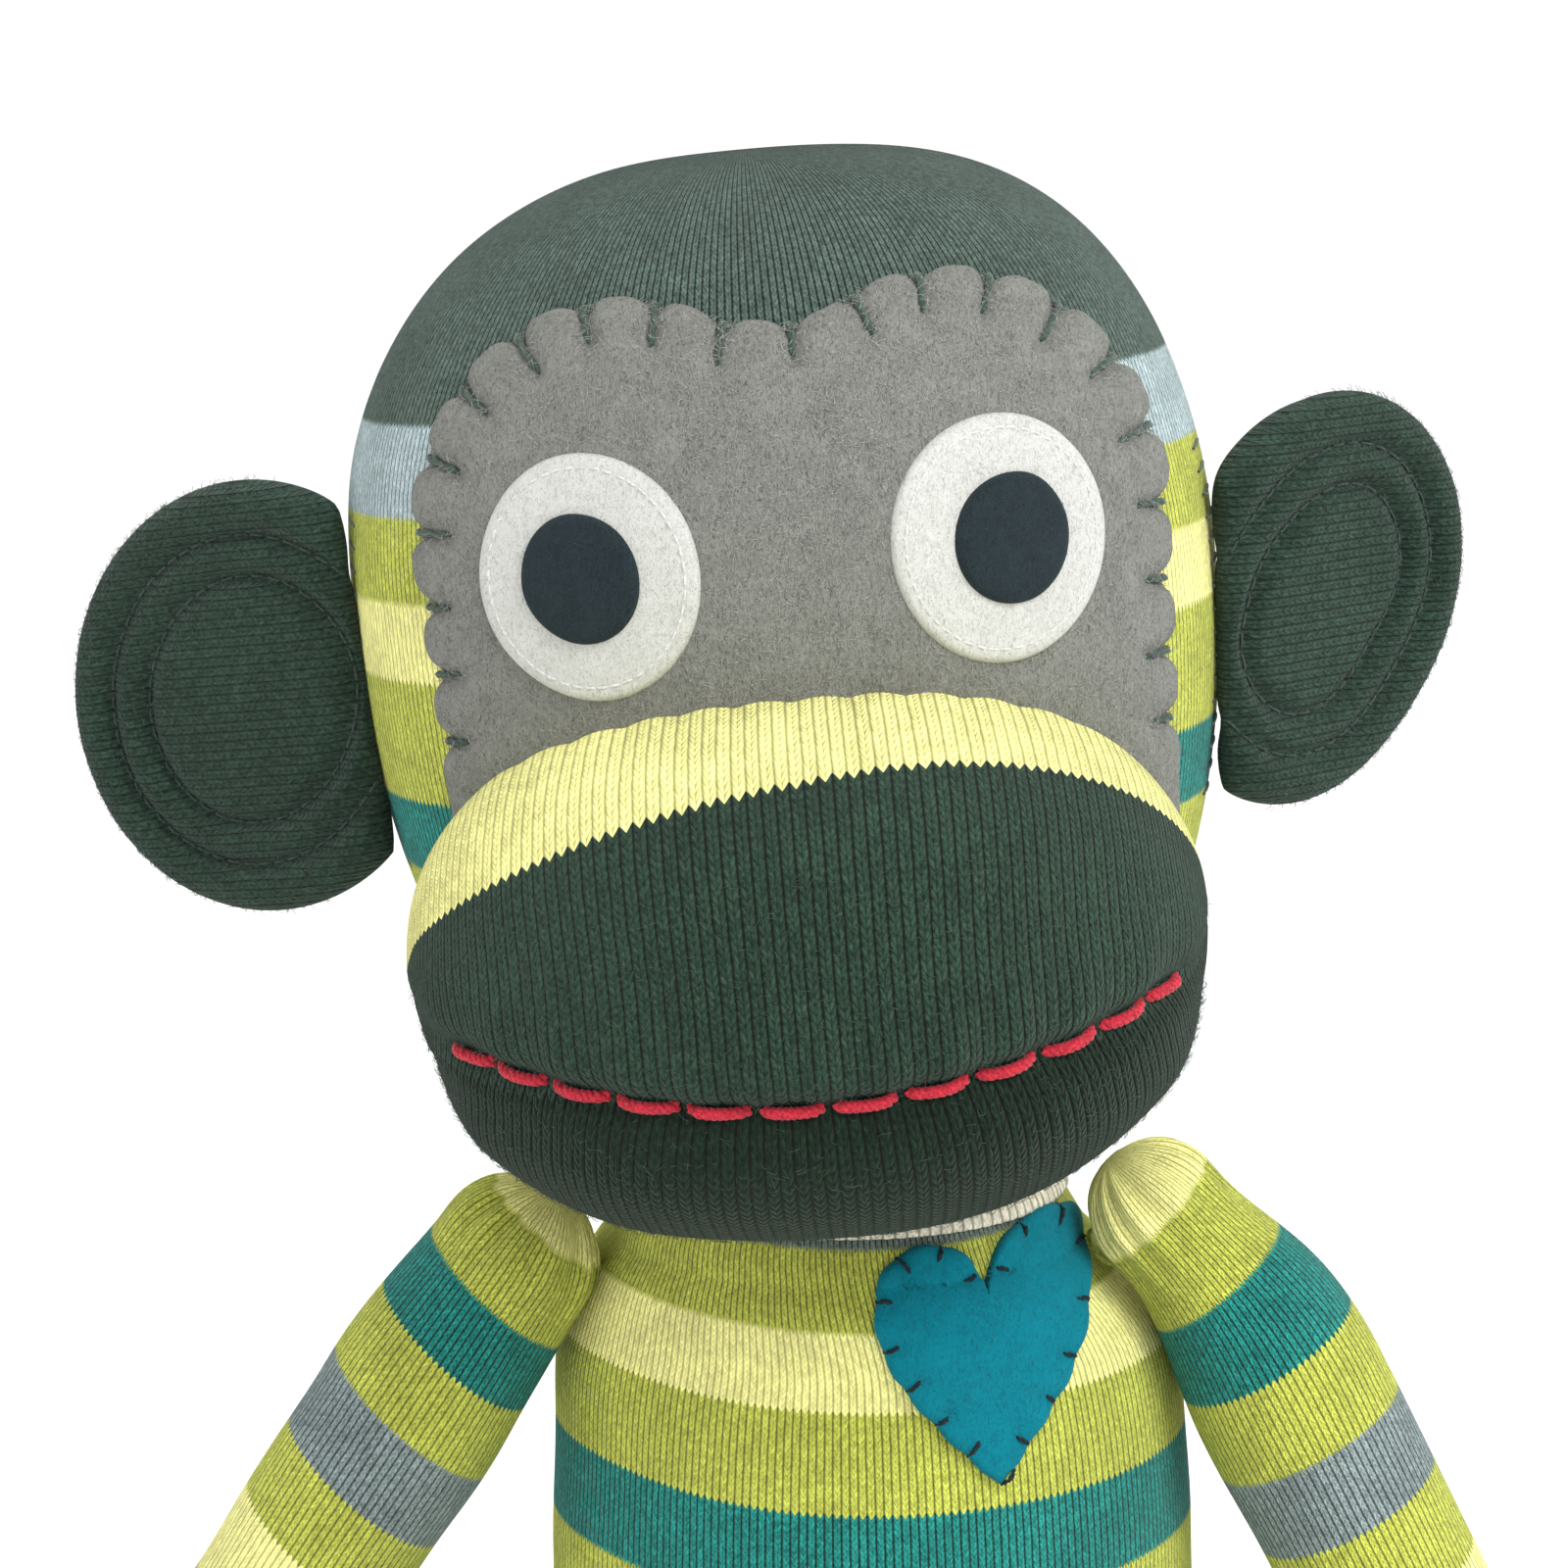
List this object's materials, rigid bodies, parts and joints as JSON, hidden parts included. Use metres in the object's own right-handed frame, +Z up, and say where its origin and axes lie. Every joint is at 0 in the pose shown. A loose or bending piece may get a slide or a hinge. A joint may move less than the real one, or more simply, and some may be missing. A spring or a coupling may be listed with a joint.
{
  "type": "stuffed sock monkey doll",
  "caption": "Stuffed sock monkey with striped knit body, felt face mask and heart, padded muzzle, round ears, jointed arms, legs and tail, made to sit.",
  "frame": {"origin": "middle of the flat seat that the doll sits on", "axes": "+Z up, the doll faces -Y, +X is the doll's own left"},
  "size_m": [0.2587, 0.3765, 0.2961],
  "materials": {
    "striped_knit": "striped stockinette sock knit, matt and slightly fuzzy",
    "dark_knit": "dark green stockinette",
    "cream_knit": "cream cuff edge",
    "grey_felt": "wool felt, fuzzy edge",
    "white_felt": "wool felt",
    "ink_felt": "wool felt",
    "teal_felt": "craft felt",
    "red_yarn": "twisted yarn",
    "dark_thread": "stranded thread",
    "white_thread": "machine thread",
    "sewing_thread": "doubled sewing thread",
    "filling": "polyester fibre"
  },
  "bodies": {
    "torso": {"body_sock": "striped_knit", "body_filling": "filling", "heart_patch": "teal_felt", "heart_thread": "dark_thread"},
    "neck_gather": {"neck_gather_thread": "sewing_thread"},
    "neck_seam": {"neck_seam_thread": "sewing_thread"},
    "head": {"head_sock": "striped_knit", "head_filling": "filling", "neck_band": "cream_knit", "muzzle_sock": "striped_knit", "muzzle_filling": "filling", "muzzle_seam_thread": "dark_thread", "mouth_yarn": "red_yarn", "face_mask": "grey_felt", "mask_thread": "dark_thread", "left_eye_white": "white_felt", "left_pupil": "ink_felt", "left_eye_stitch": "white_thread", "right_eye_white": "white_felt", "right_pupil": "ink_felt", "right_eye_stitch": "white_thread", "left_ear_seam_thread": "dark_thread", "right_ear_seam_thread": "dark_thread"},
    "left_ear": {"left_ear_front": "dark_knit", "left_ear_back": "dark_knit", "left_ear_wadding": "filling", "left_ear_outer_stitch": "dark_thread", "left_ear_inner_stitch": "dark_thread"},
    "right_ear": {"right_ear_front": "dark_knit", "right_ear_back": "dark_knit", "right_ear_wadding": "filling", "right_ear_outer_stitch": "dark_thread", "right_ear_inner_stitch": "dark_thread"},
    "left_arm_gather": {"left_arm_gather_thread": "sewing_thread"},
    "left_arm": {"left_arm_sock": "striped_knit", "left_arm_filling": "filling"},
    "right_arm_gather": {"right_arm_gather_thread": "sewing_thread"},
    "right_arm": {"right_arm_sock": "striped_knit", "right_arm_filling": "filling"},
    "left_leg_gather": {"left_leg_gather_thread": "sewing_thread"},
    "left_leg": {"left_leg_sock": "striped_knit", "left_leg_filling": "filling"},
    "right_leg_gather": {"right_leg_gather_thread": "sewing_thread"},
    "right_leg": {"right_leg_sock": "striped_knit", "right_leg_filling": "filling"},
    "tail_gather": {"tail_gather_thread": "sewing_thread"},
    "tail": {"tail_sock": "striped_knit", "tail_filling": "filling"}
  },
  "joints": [
    {"name": "neck_turn", "type": "hinge", "parent": "torso", "child": "neck_gather", "pos_m": [-0.0055, 0, 0.13], "axis": [0, 0, 1], "range_deg": [-40, 40], "stiffness_Nm_per_rad": 1},
    {"name": "head_nod", "type": "hinge", "parent": "neck_gather", "child": "neck_seam", "pos_m": [-0.0055, 0, 0.13], "axis": [1, 0, 0], "range_deg": [-8, 3], "stiffness_Nm_per_rad": 3},
    {"name": "head_tilt", "type": "hinge", "parent": "neck_seam", "child": "head", "pos_m": [-0.0055, 0, 0.13], "axis": [0, 1, 0], "range_deg": [-4, 4], "stiffness_Nm_per_rad": 3},
    {"name": "left_ear_fold", "type": "hinge", "parent": "head", "child": "left_ear", "pos_m": [0.05038, -0.011, 0.23252], "axis": [-0.0401, 0, 0.9992], "range_deg": [-20, 20], "stiffness_Nm_per_rad": 0.03},
    {"name": "right_ear_fold", "type": "hinge", "parent": "head", "child": "right_ear", "pos_m": [-0.07661, -0.011, 0.22074], "axis": [0.1444, 0, -0.9895], "range_deg": [-20, 20], "stiffness_Nm_per_rad": 0.03},
    {"name": "left_arm_swing", "type": "hinge", "parent": "torso", "child": "left_arm_gather", "pos_m": [0.03905, -0.01478, 0.14666], "axis": [-1, 0, 0], "range_deg": [-40, 100], "stiffness_Nm_per_rad": 0.08},
    {"name": "left_arm_raise", "type": "hinge", "parent": "left_arm_gather", "child": "left_arm", "pos_m": [0.03905, -0.01478, 0.14666], "axis": [0, -1, 0], "range_deg": [-4, 70], "stiffness_Nm_per_rad": 0.08},
    {"name": "right_arm_swing", "type": "hinge", "parent": "torso", "child": "right_arm_gather", "pos_m": [-0.05323, -0.01287, 0.13843], "axis": [-1, 0, 0], "range_deg": [-40, 100], "stiffness_Nm_per_rad": 0.08},
    {"name": "right_arm_raise", "type": "hinge", "parent": "right_arm_gather", "child": "right_arm", "pos_m": [-0.05323, -0.01287, 0.13843], "axis": [0, 1, 0], "range_deg": [-4, 70], "stiffness_Nm_per_rad": 0.08},
    {"name": "left_leg_lift", "type": "hinge", "parent": "torso", "child": "left_leg_gather", "pos_m": [0.024, -0.048, 0.0175], "axis": [-1, 0, 0], "range_deg": [-90, 50], "stiffness_Nm_per_rad": 0.2},
    {"name": "left_leg_spread", "type": "hinge", "parent": "left_leg_gather", "child": "left_leg", "pos_m": [0.024, -0.048, 0.0175], "axis": [0, 0, 1], "range_deg": [-6, 40], "stiffness_Nm_per_rad": 0.2},
    {"name": "right_leg_lift", "type": "hinge", "parent": "torso", "child": "right_leg_gather", "pos_m": [-0.024, -0.048, 0.0175], "axis": [-1, 0, 0], "range_deg": [-90, 50], "stiffness_Nm_per_rad": 0.2},
    {"name": "right_leg_spread", "type": "hinge", "parent": "right_leg_gather", "child": "right_leg", "pos_m": [-0.024, -0.048, 0.0175], "axis": [0, 0, -1], "range_deg": [-6, 40], "stiffness_Nm_per_rad": 0.2},
    {"name": "tail_lift", "type": "hinge", "parent": "torso", "child": "tail_gather", "pos_m": [0, 0.04525, 0.014], "axis": [1, 0, 0], "range_deg": [-20, 60], "stiffness_Nm_per_rad": 0.05},
    {"name": "tail_wag", "type": "hinge", "parent": "tail_gather", "child": "tail", "pos_m": [0, 0.04525, 0.014], "axis": [0, 0, 1], "range_deg": [-40, 40], "stiffness_Nm_per_rad": 0.05}
  ]
}
